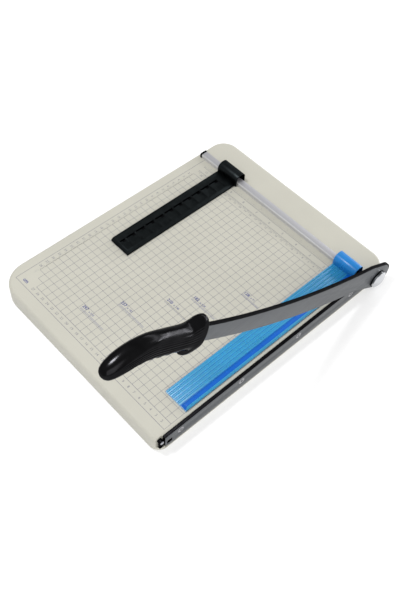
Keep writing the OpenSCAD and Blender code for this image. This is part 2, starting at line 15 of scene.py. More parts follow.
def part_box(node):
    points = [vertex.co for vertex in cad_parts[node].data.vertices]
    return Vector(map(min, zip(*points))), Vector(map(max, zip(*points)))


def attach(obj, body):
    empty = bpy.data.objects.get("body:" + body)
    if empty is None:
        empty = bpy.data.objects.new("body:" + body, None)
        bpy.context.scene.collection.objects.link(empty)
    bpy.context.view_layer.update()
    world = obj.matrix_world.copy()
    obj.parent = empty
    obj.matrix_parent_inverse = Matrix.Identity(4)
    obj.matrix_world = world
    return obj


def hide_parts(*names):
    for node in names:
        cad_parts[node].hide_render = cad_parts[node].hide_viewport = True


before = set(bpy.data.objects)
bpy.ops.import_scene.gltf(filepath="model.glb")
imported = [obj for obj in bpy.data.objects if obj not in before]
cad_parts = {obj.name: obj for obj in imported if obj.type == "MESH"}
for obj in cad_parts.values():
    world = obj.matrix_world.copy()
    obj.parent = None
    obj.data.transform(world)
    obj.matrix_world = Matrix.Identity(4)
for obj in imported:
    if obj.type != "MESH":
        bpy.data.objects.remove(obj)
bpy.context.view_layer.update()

MM = 0.001
NEAR_MARGIN = 29.0
base_low, base_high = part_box("base_shell")
cutter_origin = Vector((base_high.x, base_low.y + NEAR_MARGIN * MM, base_high.z))

# Sizes that repeat those of the CAD model, in millimetres
BASE_H = 25.0
FIXED_BLADE_T = 4.5
FIXED_BLADE_Y = (-17.5, 365.0)
FIXED_BLADE_Z = (-22.0, 2.0)
BLADE_SCREWS_Y = (6.5, 104.5, 204.5, 304.0)
BLADE_SCREWS_Z = -8.0
PIVOT_Y = 353.0
PIVOT_Z = -11.5
SHANK_BORE_R = 5.05
ARM_ANGLE = math.radians(33.0)
ARM_X = (0.2, 4.2)
REST_GAP = 0.3

# How far a cutting solid reaches beyond the surface that it cuts
OVERCUT = 1.0


def at(x, y, z):
    """A point of the cutter, in millimetres, as a point of the frame."""
    return cutter_origin + Vector((x, y, z)) * MM


# ------------------------------------------------------------------ mesh helpers


def new_piece(name, points, faces):
    """A mesh object from points in millimetres."""
    mesh = bpy.data.meshes.new(name)
    mesh.from_pydata([at(*p) for p in points], [], faces)
    mesh.validate()
    piece = bpy.data.objects.new(name, mesh)
    bpy.context.scene.collection.objects.link(piece)
    recalculate_normals(piece)
    return piece


def recalculate_normals(piece):
    work = bmesh.new()
    work.from_mesh(piece.data)
    bmesh.ops.recalc_face_normals(work, faces=work.faces)
    work.to_mesh(piece.data)
    work.free()


def arc(centre, radius, start, end, steps):
    """Points along a circular arc, with angles in degrees."""
    points = []
    for i in range(steps + 1):
        turn = math.radians(start + (end - start) * i / steps)
        points.append((centre[0] + radius * math.cos(turn), centre[1] + radius * math.sin(turn)))
    return points


def prism(name, outline, low, high, axis):
    """An outline extruded along an axis. It is drawn in (y, z), (x, z) or (x, y)."""
    place = {
        "x": lambda p, h: (h, p[0], p[1]),
        "y": lambda p, h: (p[0], h, p[1]),
        "z": lambda p, h: (p[0], p[1], h),
    }[axis]
    count = len(outline)
    points = [place(p, low) for p in outline] + [place(p, high) for p in outline]
    faces = [list(range(count)), list(range(2 * count - 1, count - 1, -1))]
    for i in range(count):
        j = (i + 1) % count
        faces.append([i, j, j + count, i + count])
    return new_piece(name, points, faces)


def block(name, low, high):
    outline = [(low[0], low[1]), (high[0], low[1]), (high[0], high[1]), (low[0], high[1])]
    return prism(name, outline, low[2], high[2], "z")


def loft(name, rings):
    """A closed skin through rings of the same number of points."""
    count = len(rings[0])
    points = [p for ring in rings for p in ring]
    faces = [list(range(count)), [len(points) - 1 - i for i in range(count)]]
    for k in range(len(rings) - 1):
        for i in range(count):
            j = (i + 1) % count
            a = k * count
            faces.append([a + i, a + j, a + count + j, a + count + i])
    return new_piece(name, points, faces)


def lathe(name, profile, y, z, steps=96):
    """A solid turned about an axis along X. The profile is (x, radius), from end to end."""
    rings = []
    for x, radius in profile:
        turn = [2 * math.pi * i / steps for i in range(steps)]
        rings.append([(x, y + radius * math.cos(t), z + radius * math.sin(t)) for t in turn])
    return loft(name, rings)


def apply_modifiers(piece):
    bpy.context.view_layer.update()
    shown = piece.evaluated_get(bpy.context.evaluated_depsgraph_get())
    mesh = bpy.data.meshes.new_from_object(shown)
    old = piece.data
    piece.modifiers.clear()
    piece.data = mesh
    mesh.name = old.name
    bpy.data.meshes.remove(old)


def combine(piece, other, operation):
    """Joins, or cuts away, another solid, which is used up."""
    tool = piece.modifiers.new("combine", "BOOLEAN")
    tool.operation = operation
    tool.solver = "EXACT"
    tool.use_self = operation == "UNION"
    tool.object = other
    apply_modifiers(piece)
    mesh = other.data
    bpy.data.objects.remove(other)
    bpy.data.meshes.remove(mesh)


def merge(pieces):
    """Several pieces as one object, without joining their surfaces."""
    work = bmesh.new()
    for piece in pieces:
        work.from_mesh(piece.data)
    first = pieces[0]
    work.to_mesh(first.data)
    work.free()
    for piece in pieces[1:]:
        mesh = piece.data
        bpy.data.objects.remove(piece)
        bpy.data.meshes.remove(mesh)
    return first


def round_edges(piece, width, segments=3, angle=30):
    """Rounds every edge that is sharper than the angle, in degrees."""
    tool = piece.modifiers.new("round", "BEVEL")
    tool.width = width * MM
    tool.segments = segments
    tool.limit_method = "ANGLE"
    tool.angle_limit = math.radians(angle)
    tool.use_clamp_overlap = True
    tool.harden_normals = False
    apply_modifiers(piece)


def smooth(piece, angle=40):
    piece.data.shade_smooth()
    piece.data.set_sharp_from_angle(angle=math.radians(angle))


def put_on(piece, body, node, slot, *materials):
    """Gives a finished piece its materials and its body, and hides the CAD node that it stands for.
    """
    piece.data.materials.clear()
    for material in materials:
        piece.data.materials.append(material)
    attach(piece, body)
    if node:
        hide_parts(node)


def paint_faces(piece, index, test):
    """Gives the material slot index to every face whose normal and centre pass the test."""
    for face in piece.data.polygons:
        if test(face.normal, (face.center - cutter_origin) / MM):
            face.material_index = index


# ------------------------------------------------------------------ materials


class Surface:
    """A procedural material: one shader, with noise for its colour, roughness and grain."""

    def __init__(self, name, color, roughness, metallic=0.0):
        self.material = bpy.data.materials.new(name)
        self.material.use_nodes = True
        self.nodes = self.material.node_tree.nodes
        self.links = self.material.node_tree.links
        self.shader = self.nodes["Principled BSDF"]
        self.place = self.nodes.new("ShaderNodeTexCoord")
        self.color = color
        self.roughness = roughness
        self.set("Base Color", (*color, 1.0))
        self.set("Roughness", roughness)
        self.set("Metallic", metallic)

    def set(self, socket, value):
        self.shader.inputs[socket].default_value = value
        return self

    def dark_gloss(self):
        """Keeps a black surface dark where it is seen at a low angle."""
        return self.set("Metallic", 1.0).set("Specular Tint", (0.5, 0.5, 0.5, 1.0))

    def noise(self, scale, detail=3.0):
        """Noise in the piece's own metres; scale is cells per metre along X, Y and Z."""
        mapping = self.nodes.new("ShaderNodeMapping")
        mapping.inputs["Scale"].default_value = scale
        noise = self.nodes.new("ShaderNodeTexNoise")
        noise.inputs["Scale"].default_value = 1.0
        noise.inputs["Detail"].default_value = detail
        self.links.new(self.place.outputs["Object"], mapping.inputs["Vector"])
        self.links.new(mapping.outputs["Vector"], noise.inputs["Vector"])
        return noise.outputs["Fac"]

    def spread(self, value, low, high):
        """Noise remapped from its middle range to low..high."""
        remap = self.nodes.new("ShaderNodeMapRange")
        remap.inputs["From Min"].default_value = 0.3
        remap.inputs["From Max"].default_value = 0.7
        remap.inputs["To Min"].default_value = low
        remap.inputs["To Max"].default_value = high
        self.links.new(value, remap.inputs["Value"])
        return remap.outputs["Result"]

    def mottle(self, scale, amount):
        """Lets the colour drift by a share of itself, from place to place."""
        mix = self.nodes.new("ShaderNodeMix")
        mix.data_type = "RGBA"
        mix.inputs["A"].default_value = (*[c * (1 - amount) for c in self.color], 1.0)
        mix.inputs["B"].default_value = (*[min(1.0, c * (1 + amount)) for c in self.color], 1.0)
        self.links.new(self.spread(self.noise(scale), 0.0, 1.0), mix.inputs["Factor"])
        self.links.new(mix.outputs["Result"], self.shader.inputs["Base Color"])
        return self

    def vary_roughness(self, scale, amount):
        low = max(0.02, self.roughness - amount)
        high = min(1.0, self.roughness + amount)
        self.links.new(self.spread(self.noise(scale), low, high), self.shader.inputs["Roughness"])
        return self

    def grain(self, scale, strength, depth):
        """Fine bumps; depth is in millimetres."""
        bump = self.nodes.new("ShaderNodeBump")
        bump.inputs["Strength"].default_value = strength
        bump.inputs["Distance"].default_value = depth * MM
        self.links.new(self.noise(scale, 4.0), bump.inputs["Height"])
        self.links.new(bump.outputs["Normal"], self.shader.inputs["Normal"])
        return self


def even(scale):
    return (scale, scale, scale)


def base_plastic():
    look = Surface("base_plastic", (0.487, 0.476, 0.415), 0.5)
    look.set("Specular IOR Level", 0.3)
    look.mottle(even(18), 0.02)
    look.vary_roughness(even(60), 0.06)
    look.grain(even(1600), 0.12, 0.08)
    return look.material


def printing_ink(name, color):
    look = Surface(name, color, 0.55)
    look.mottle(even(400), 0.15)
    look.vary_roughness(even(500), 0.05)
    return look.material


def rail_aluminium(name, color, metallic):
    look = Surface(name, color, 0.5, metallic)
    look.mottle((8, 900, 900), 0.05)
    look.vary_roughness((10, 1200, 1200), 0.08)
    look.grain((12, 2600, 2600), 0.10, 0.03)
    return look.material


def black_plastic():
    look = Surface("black_plastic", (0.015, 0.018, 0.019), 0.4)
    look.dark_gloss()
    look.mottle(even(120), 0.2)
    look.vary_roughness(even(160), 0.06)
    look.grain(even(2400), 0.15, 0.05)
    return look.material


def handle_plastic():
    look = Surface("handle_plastic", (0.014, 0.014, 0.015), 0.2)
    look.dark_gloss()
    look.mottle(even(90), 0.2)
    look.vary_roughness(even(70), 0.04)
    look.grain(even(900), 0.05, 0.05)
    return look.material


def ground_steel():
    look = Surface("ground_steel", (0.098, 0.105, 0.113), 0.44, 0.85)
    look.mottle((20, 20, 700), 0.08)
    look.vary_roughness((25, 25, 1200), 0.07)
    look.grain((30, 30, 2400), 0.12, 0.03)
    return look.material


def bright_steel():
    look = Surface("bright_steel", (0.36, 0.37, 0.40), 0.3, 1.0)
    look.mottle((300, 15, 300), 0.08)
    look.vary_roughness((900, 20, 900), 0.08)
    return look.material


def black_paint():
    look = Surface("black_paint", (0.008, 0.008, 0.009), 0.45)
    look.dark_gloss()
    look.mottle(even(90), 0.2)
    look.vary_roughness(even(150), 0.08)
    look.grain(even(1500), 0.08, 0.05)
    return look.material


def clear_plastic(name, color, clearness):
    look = Surface(name, color, 0.3)
    look.set("Transmission Weight", clearness)
    look.set("IOR", 1.49)
    look.set("Specular IOR Level", 0.35)
    look.mottle(even(25), 0.05)
    look.vary_roughness(even(80), 0.04)
    look.grain(even(200), 0.02, 0.03)
    return look.material


def chrome_plate():
    look = Surface("chrome_plate", (0.58, 0.59, 0.61), 0.07, 1.0)
    look.mottle(even(60), 0.02)
    look.vary_roughness(even(120), 0.03)
    return look.material


def zinc_plate():
    look = Surface("zinc_plate", (0.62, 0.63, 0.65), 0.3, 1.0)
    look.mottle(even(250), 0.08)
    look.vary_roughness(even(400), 0.1)
    look.grain(even(2500), 0.08, 0.03)
    return look.material


def dark_steel():
    look = Surface("dark_steel", (0.34, 0.34, 0.36), 0.2, 1.0)
    look.mottle(even(250), 0.1)
    look.vary_roughness(even(400), 0.08)
    return look.material


def turned_brass():
    look = Surface("turned_brass", (0.66, 0.47, 0.17), 0.28, 1.0)
    look.mottle(even(200), 0.06)
    look.vary_roughness(even(500), 0.08)
    return look.material


def foot_rubber():
    look = Surface("foot_rubber", (0.02, 0.02, 0.02), 0.75)
    look.mottle(even(200), 0.2)
    look.grain(even(1500), 0.25, 0.1)
    return look.material


# ------------------------------------------------------------------ base

CORNER_STEPS = 20
# centre and radius of each rounded corner: near right, far right, far left, near left
BASE_CORNERS = [(-14.5, -14.5, 14.5), (-23, 353, 23), (-291, 352, 24), (-279, 7, 36)]
HOLLOW_CORNERS = [(-22, -18, 8), (-22, 365, 8), (-291, 352, 21), (-279, 7, 33)]
EDGE_R = 4.0
EDGE_STEPS = 8
LOWER_EDGE_R = 0.6
SHELL_T = 3.0
DECK_RIB_DEPTH = 5.0
DECK_RIB_PITCH = 41.0
DECK_RIB_HALF_T = 1.0
DECK_RIBS_ALONG = 7
DECK_RIBS_ACROSS = 9
SIDE_WALL_X = -15.0
SCREW_HOLE_R = 2.7
PIVOT_HOLE_R = 5.3
FEET = [(-288, -2), (-32, -2), (-288, 328), (-32, 328), (-157.5, 173.5)]
FOOT_BOSS_R = 9.0
# how far ribs and bosses reach into the deck
WELD = 0.5


def rounded_outline(corners, inset=0.0):
    points = []
    for (x, y, radius), start in zip(corners, (-90, 0, 90, 180)):
        points += arc((x, y), radius - inset, start, start + 90, CORNER_STEPS)
    return points


def base_block():
    """The outside of the moulding, with its rounded top edge and a softened lower edge."""
    middle = 0.17
    levels = [(LOWER_EDGE_R, -BASE_H), (middle, middle - BASE_H), (0.0, LOWER_EDGE_R - BASE_H)]
    for i in range(EDGE_STEPS + 1):
        turn = math.pi / 2 * i / EDGE_STEPS
        levels.append((EDGE_R * (1 - math.cos(turn)), EDGE_R * (math.sin(turn) - 1)))
    rings = []
    for inset, z in levels:
        rings.append([(x, y, z) for x, y in rounded_outline(BASE_CORNERS, inset)])
    return loft("base_moulding", rings)


def base_ribs():
    """The grid of ribs that stiffens the deck from below."""
    top = WELD - SHELL_T
    bottom = -SHELL_T - DECK_RIB_DEPTH
    half = DECK_RIB_HALF_T
    left, right, near, far = -313, -43, -27, 374
    ribs = []
    for i in range(DECK_RIBS_ALONG):
        x = -44 - DECK_RIB_PITCH * i
        ribs.append(block("rib", (x - half, near, bottom), (x + half, far, top)))
    for i in range(DECK_RIBS_ACROSS):
        y = 16 + DECK_RIB_PITCH * i
        ribs.append(block("rib", (left, y - half, bottom), (right, y + half, top)))
    return merge(ribs)


def foot_bosses():
    bosses = []
    for place in FEET:
        outline = arc(place, FOOT_BOSS_R, 0, 360, 48)[:-1]
        bosses.append(prism("boss", outline, -BASE_H, WELD - SHELL_T, "z"))
    return merge(bosses)


def cut_blade_seat(base):
    """The step that the fixed blade lies in, the latch's pocket, and the holes in the side wall."""
    near, far = FIXED_BLADE_Y
    seat = block("seat", (-FIXED_BLADE_T, near, FIXED_BLADE_Z[0]), (OVERCUT, far, OVERCUT))
    combine(base, seat, "DIFFERENCE")
    pocket = block("pocket", (-6.5, -31, -18.5), (OVERCUT, near + 0.1, OVERCUT))
    combine(base, pocket, "DIFFERENCE")
    profile = [(SIDE_WALL_X, SCREW_HOLE_R), (OVERCUT, SCREW_HOLE_R)]
    for y in BLADE_SCREWS_Y:
        combine(base, lathe("hole", profile, y, BLADE_SCREWS_Z, 32), "DIFFERENCE")
    profile = [(SIDE_WALL_X, PIVOT_HOLE_R), (OVERCUT, PIVOT_HOLE_R)]
    combine(base, lathe("hole", profile, PIVOT_Y, PIVOT_Z, 48), "DIFFERENCE")


def build_base(plastic):
    base = base_block()
    hollow = rounded_outline(HOLLOW_CORNERS)
    combine(base, prism("hollow", hollow, -BASE_H - OVERCUT, -SHELL_T, "z"), "DIFFERENCE")
    combine(base, base_ribs(), "UNION")
    combine(base, foot_bosses(), "UNION")
    cut_blade_seat(base)
    smooth(base, 30)
    put_on(base, "base", "base_shell", "base_plastic", plastic)


# ------------------------------------------------------------------ printed scale

INK_TOP = 0.03
THIN_LINE = 0.4
BOLD_LINE = 0.55
RULE_LINE = 0.34
TICK_LINE = 0.16
SIDE_TICK_LINE = 0.14
SHORT_TICK = 3.0
MIDDLE_TICK = 4.5
LONG_TICK = 6.5
SIDE_TICK = 3.2
# size of a type that makes its figures 1 mm high
TYPE_SIZE = 1.38

CM = 10.0
INCH = 25.4
GRID_LEFT = -290.0
GRID_RIGHT = -10.0
GRID_FAR = 290.0
BORDER_LEFT = -300.0
BORDER_NEAR = -10.7
BORDER_FAR = 320.0
CM_STRIP_FAR = 300.0
INCH_STRIP_FAR = 310.0


class Print:
    """Flat lines and figures of ink on the deck, gathered into one mesh."""

    def __init__(self, name):
        self.name = name
        self.points = []
        self.faces = []

    def bar(self, x0, y0, x1, y1):
        """One inked rectangle, a few hundredths of a millimetre thick."""
        start = len(self.points)
        for z in (0.0, INK_TOP):
            self.points += [(x0, y0, z), (x1, y0, z), (x1, y1, z), (x0, y1, z)]
        self.faces.append([start + i for i in (3, 2, 1, 0)])
        self.faces.append([start + i for i in (4, 5, 6, 7)])
        for i in range(4):
            j = (i + 1) % 4
            self.faces.append([start + i, start + j, start + j + 4, start + i + 4])

    def across(self, y, x0, x1, width=THIN_LINE):
        self.bar(x0, y - width / 2, x1, y + width / 2)

    def along(self, x, y0, y1, width=THIN_LINE):
        self.bar(x - width / 2, y0, x + width / 2, y1)

    def figures(self, text, x, y, size, align="CENTER", weight=0.0):
        """Figures at a point of the deck, size being their height in millimetres."""
        curve = bpy.data.curves.new("figures", "FONT")
        curve.body = text
        curve.size = size * TYPE_SIZE
        curve.align_x = align
        curve.offset = weight
        curve.align_y = "CENTER"
        curve.resolution_u = 2
        curve.extrude = INK_TOP / 2
        letters = bpy.data.objects.new("figures", curve)
        bpy.context.scene.collection.objects.link(letters)
        bpy.context.view_layer.update()
        shown = letters.evaluated_get(bpy.context.evaluated_depsgraph_get())
        mesh = bpy.data.meshes.new_from_object(shown)
        start = len(self.points)
        for vertex in mesh.vertices:
            p = vertex.co
            self.points.append((p.x + x, p.y + y, p.z + INK_TOP / 2))
        for face in mesh.polygons:
            self.faces.append([start + i for i in face.vertices])
        bpy.data.objects.remove(letters)
        bpy.data.curves.remove(curve)
        bpy.data.meshes.remove(mesh)

    def finish(self, material):
        piece = new_piece(self.name, self.points, self.faces)
        put_on(piece, "base", None, "base_plastic", material)
        return piece


def print_frame(ink):
    """The border lines around the deck and its number strips."""
    ink.across(BORDER_NEAR, BORDER_LEFT, GRID_RIGHT, BOLD_LINE)
    ink.along(BORDER_LEFT, BORDER_NEAR, BORDER_FAR, BOLD_LINE)
    ink.along(GRID_RIGHT, BORDER_NEAR, BORDER_FAR)
    ink.along(GRID_LEFT, 2 * CM, GRID_FAR)
    ink.across(0, GRID_LEFT + 2 * CM, GRID_RIGHT, BOLD_LINE)
    for y in (GRID_FAR, CM_STRIP_FAR, INCH_STRIP_FAR):
        ink.across(y, GRID_LEFT, GRID_RIGHT)


def print_grid(ink):
    """The centimetre grid, with its cut corner at the near left."""
    for i in range(2, 30):
        ink.along(-CM * i, CM * max(0, i - 27), GRID_FAR)
    for j in range(1, 29):
        left = GRID_LEFT + CM if j == 1 else GRID_LEFT
        ink.across(CM * j, left, GRID_RIGHT)


def print_ticks(ink):
    """Millimetre ticks, tenths of an inch, and a tick every 2 mm down the left side."""
    for i in range(10, 291):
        if i % 10:
            length = SHORT_TICK if i % 5 else MIDDLE_TICK
            ink.along(-i, CM_STRIP_FAR - length, CM_STRIP_FAR, TICK_LINE)
    for i in range(4, 115):
        length = SHORT_TICK if i % 5 else MIDDLE_TICK
        if i % 10 == 0:
            length = LONG_TICK
        ink.along(-INCH / 10 * i, INCH_STRIP_FAR, INCH_STRIP_FAR + length, TICK_LINE)
    for y in range(12, 290, 2):
        if y % 10:
            ink.across(y, GRID_LEFT - SIDE_TICK, GRID_LEFT, SIDE_TICK_LINE)


def print_numbers(ink):
    """Numbers along the near and left sides, and over the centimetre and inch strips."""
    for i in range(2, 28):
        ink.figures(str(i), -CM * i, -5.4, 3.6)
    for j in range(1, 28):
        ink.figures(str(29 - j), (BORDER_LEFT + GRID_LEFT) / 2, CM * (j + 1.5), 3.4)
    for i in range(2, 29):
        ink.figures(str(i), -CM * i, CM_STRIP_FAR - CM / 2, 3.0)
    for i in range(1, 12):
        ink.figures(str(i), -INCH * i, INCH_STRIP_FAR - CM / 2, 3.6)


def print_labels(ink):
    """Paper sizes in millimetres, each over a double rule, and the unit of the scale."""
    # length and width of the paper, left end of the rule, its y, and its length
    labels = [
        ("297", "x 210", -208, 23, 45),
        ("257", "x 182", -181, 63, 48),
        ("210", "x 148", -146, 110, 39),
        ("182", "x 128", -127, 138, 43),
        ("128", "x 91", -90, 192, 30),
    ]
    for bold, rest, x, y, length in labels:
        ink.figures(bold, x, y + 4.0, 4.4, "LEFT", 0.16)
        ink.figures(rest, x + 12, y + 3.6, 3.0, "LEFT", 0.04)
        for rule in (-1.4, 0.0):
            ink.across(y + rule, x, x + length, RULE_LINE)
    ink.figures("cm", -287, -4.0, 5.2, "CENTER", 0.2)


def build_print(line_ink, text_ink):
    lines = Print("scale_lines")
    print_frame(lines)
    print_grid(lines)
    print_ticks(lines)
    lines.finish(line_ink)
    numbers = Print("scale_numbers")
    print_numbers(numbers)
    numbers.finish(line_ink)
    labels = Print("paper_size_marks")
    print_labels(labels)
    labels.finish(text_ink)


# ------------------------------------------------------------------ guide rail


def build_rail(aluminium, near_face_painted_light):
    y, width, height, chamfer = 320.3, 9.9, 6.5, 1.1
    groove = [(y, 1.6), (y + 0.35, 1.2), (y, 0.8)]
    outline = [(y, 0), (y + width, 0), (y + width, height)]
    outline += [(y + chamfer, height), (y, height - chamfer)]
    rail = prism("guide_rail_bar", outline + groove, -306, -14.5, "x")
    round_edges(rail, 0.12, 2, 40)
    smooth(rail, 35)
    put_on(rail, "base", "guide_rail", "rail_aluminium", aluminium, near_face_painted_light)
    # the near face gets a lighter, less metallic copy of the aluminium: painted light for a face
    # that looks lighter towards the lamps
    paint_faces(rail, 1, lambda n, c: n.y < -0.3)


# ------------------------------------------------------------------ fixed blade


def build_fixed_blade(steel, paint):
    """The bar with its bevelled edge, cut near corner, latch window and screw holes."""
    near, far = FIXED_BLADE_Y
    low, high = FIXED_BLADE_Z
    back = -FIXED_BLADE_T
    behind = back - 1.5
    outline = [(back, low), (0, low), (0, high - 0.8), (-0.8, high), (back, high)]
    blade = prism("fixed_blade_bar", outline, near, far, "y")
    corner = [(-19, -23), (-9, -23), (-9, low), (near, -17), (-19, -17)]
    combine(blade, prism("corner", corner, behind, OVERCUT, "x"), "DIFFERENCE")
    window = block("window", (behind, -14.6, -16), (OVERCUT, -6.9, -9.3))
    combine(blade, window, "DIFFERENCE")
    for y in BLADE_SCREWS_Y:
        profile = [(behind, 2.6), (-2.5, 2.6), (0.1, 4.7), (OVERCUT, 4.7)]
        combine(blade, lathe("sink", profile, y, BLADE_SCREWS_Z, 48), "DIFFERENCE")
    profile = [(behind, SHANK_BORE_R), (OVERCUT, SHANK_BORE_R)]
    combine(blade, lathe("bore", profile, PIVOT_Y, PIVOT_Z, 64), "DIFFERENCE")
    round_edges(blade, 0.12, 2, 40)
    smooth(blade, 35)
    put_on(blade, "base", "fixed_blade", "blade_steel", steel, paint)
    # only its outer face is bare steel
    paint_faces(blade, 1, lambda n, c: n.z > 0.2 or n.x < -0.5 or n.y < -0.7)


# ------------------------------------------------------------------ blade arm


def from_arm(y, z):
    """A point of the arm's own frame, with the pivot at its origin, at the arm's rest angle."""
    turned_y = y * math.cos(ARM_ANGLE) + z * math.sin(ARM_ANGLE)
    turned_z = -y * math.sin(ARM_ANGLE) + z * math.cos(ARM_ANGLE)
    return PIVOT_Y + turned_y, PIVOT_Z + turned_z


def convex(points):
    """The convex hull of points, anticlockwise."""
    points = sorted(set(points))

    def half(order):
        chain = []
        for p in order:
            while len(chain) > 1:
                (ax, ay), (bx, by) = chain[-2], chain[-1]
                if (bx - ax) * (p[1] - ay) - (by - ay) * (p[0] - ax) > 0:
                    break
                chain.pop()
            chain.append(p)
        return chain[:-1]

    return half(points) + half(points[::-1])


# The arm's own frame: its pivot at the origin, its tang towards -Y, its spine towards +Z
HEEL_REACH = 15.7
HEEL_LOW_R = 15.3
HEEL_R = 24.0
HEEL_TOP = (-36.0, 21.1)
HEEL_TOP_R = 1.0
HEEL_LOW = (-46.0, -14.4)
HEEL_LOW_CORNER_R = 1.5
# centre and radius of the two large circles that the edge and the spine follow
EDGE_CIRCLE = ((-274.0, 1209.0), 1244.5)
SPINE_CIRCLE = ((-318.0, 1242.5), 1253.5)
CURVE_STEPS = 60
# how far past the heel's corners the large circles start
CURVE_START = 1.5
PLATE_END = 392.5
TANG_END = 462.0
TANG_Z = (-29.7, -13.7)
BUSH_BORE_R = 7.05
BAND_WIDTH = 1.9
BAND_H = 0.04


def circle_height(circle, y):
    """Height of the lower side of a large circle at y."""
    (centre_y, centre_z), radius = circle
    return centre_z - math.sqrt(radius * radius - (y - centre_y) ** 2)


def trimmed(outline, limit):
    """The part of an outline where y - z is within a limit, with new corners on the cut."""
    kept = []
    for i, (y, z) in enumerate(outline):
        before_y, before_z = outline[i - 1]
        before = before_y - before_z
        if (y - z > limit) != (before > limit):
            share = (limit - before) / ((y - z) - before)
            kept.append((before_y + share * (y - before_y), before_z + share * (z - before_z)))
        if y - z <= limit:
            kept.append((y, z))
    return kept


def nearest(points, spot):
    """Index of the point that is nearest to a spot."""
    return min(range(len(points)), key=lambda i: math.dist(points[i], spot))


def heel_outline():
    """The arm's end around the pivot, from its low corner round to its top corner."""
    top_centre = (HEEL_TOP[0], HEEL_TOP[1] - HEEL_TOP_R)
    low_centre = (HEEL_LOW[0], HEEL_LOW[1] + HEEL_LOW_CORNER_R)
    cloud = arc((0, 0), HEEL_LOW_R, 180, 360, 96) + arc((0, 0), HEEL_R, 0, 180, 120)
    cloud += arc(top_centre, HEEL_TOP_R, 0, 360, 24)
    cloud += arc(low_centre, HEEL_LOW_CORNER_R, 0, 360, 24)
    hull = convex([(round(y, 4), round(z, 4)) for y, z in cloud])
    heel = trimmed(hull, HEEL_REACH * math.sqrt(2))
    low = nearest(heel, HEEL_LOW)
    heel = heel[low:] + heel[:low]
    return heel[: nearest(heel, HEEL_TOP) + 1]


def arm_outline():
    """The arm seen from its outer side: cutting edge, heel, spine and tang."""
    edge_end = HEEL_LOW[0] - CURVE_START
    spine_start = HEEL_TOP[0] - CURVE_START
    edge = []
    spine = []
    for i in range(CURVE_STEPS):
        y = -PLATE_END + (PLATE_END + edge_end) * i / CURVE_STEPS
        edge.append((y, circle_height(EDGE_CIRCLE, y)))
        y = spine_start - (PLATE_END + spine_start) * (i + 1) / CURVE_STEPS
        spine.append((y, circle_height(SPINE_CIRCLE, y)))
    low, high = TANG_Z
    tang = [(-PLATE_END, high), (-TANG_END, high), (-TANG_END, low), (-PLATE_END, low)]
    return edge + heel_outline() + spine + tang


def upper_band(width):
    """The blackened band along the arm's upper edge, as it shows on the outer face."""
    outer = arc((0, 0), HEEL_R, 30, 92, 24)
    inner = []
    for i, (y, z) in enumerate(outer):
        # it tapers to its end over a dozen points
        shrink = 1 - width * min(1.0, (i + 1) / 12) / HEEL_R
        inner.append((y * shrink, z * shrink))
    for i in range(CURVE_STEPS + 1):
        y = HEEL_TOP[0] - (GUARD_FACE + 2 + HEEL_TOP[0]) * i / CURVE_STEPS
        z = circle_height(SPINE_CIRCLE, y)
        outer.append((y, z))
        inner.append((y, z - width))
    return outer + inner[::-1]


def build_arm(steel, paint):
    inside, outside = ARM_X
    outline = [from_arm(y, z) for y, z in arm_outline()]
    arm = prism("blade_arm_plate", outline, inside, outside, "x")
    bore = lathe("bore", [(-2, BUSH_BORE_R), (6, BUSH_BORE_R)], PIVOT_Y, PIVOT_Z, 64)
    combine(arm, bore, "DIFFERENCE")
    round_edges(arm, 0.35, 3, 35)
    outline = [from_arm(y, z) for y, z in upper_band(BAND_WIDTH)]
    band = prism("band", outline, outside - 0.3, outside + BAND_H, "x")
    arm = merge([arm, band])
    smooth(arm, 30)
    put_on(arm, "blade_lever", "blade_arm", "blade_steel", steel, paint)
    # its edges and the band are black
    paint_faces(arm, 1, lambda n, c: abs(n.x) < 0.8 or c.x > outside + BAND_H / 2)


# ------------------------------------------------------------------ handle

GUARD_FACE = 384.4
GRIP_X = 3.0
GRIP_Z = -21.7
BEND_START = 66.0
BEND_RATE = 0.0068
# distance from the guard's face, half height above and below the centre line, half width
STATIONS = [
    (0, 20, 8, 9), (1.5, 24, 13, 11), (4, 26, 17, 11.8), (9, 25.3, 22, 11.8), (13, 22.5, 20.3, 11.6),
    (17, 19.8, 13.5, 11.5), (24, 17, 9.8, 11.5), (40, 16.2, 10.6, 11.5), (60, 16.2, 11.4, 11.5),
    (80, 15.5, 10.2, 11.5), (100, 12.8, 9.8, 11.3), (112, 9.6, 10.2, 9.9), (119, 6.6, 8.8, 7.5),
    (122, 3.6, 5.4, 4.4), (123, 1.4, 1.8, 1.6),
]
RING_SIDES = 360
RING_STEPS = 260
SECTION_POWER = 0.92
GUARD_POWER = 1.3
GUARD_SLANT = 0.16
# the flanks' ribs: their pitch and place are angles around the grip, in degrees
RIB_PITCH = 9.0
RIB_H = 0.3
RIB_MIDDLE = 30.0
RIB_DRIFT = 0.22
RIBS_BELOW = 20.0
RIBS_ABOVE = 16.0
RIBS_FADE = 5.0
GROOVE_START = 24.0
GROOVE_PITCH = 13.0
GROOVE_H = 2.6
GROOVE_ROUNDING = 1.6
# where each feature starts, ends, and how far it fades, along the handle
GUARD_ZONE = (-1, 13, 6)
RIB_ZONE = (16, 100, 10)
GROOVE_ZONE = (30, 96, 6)


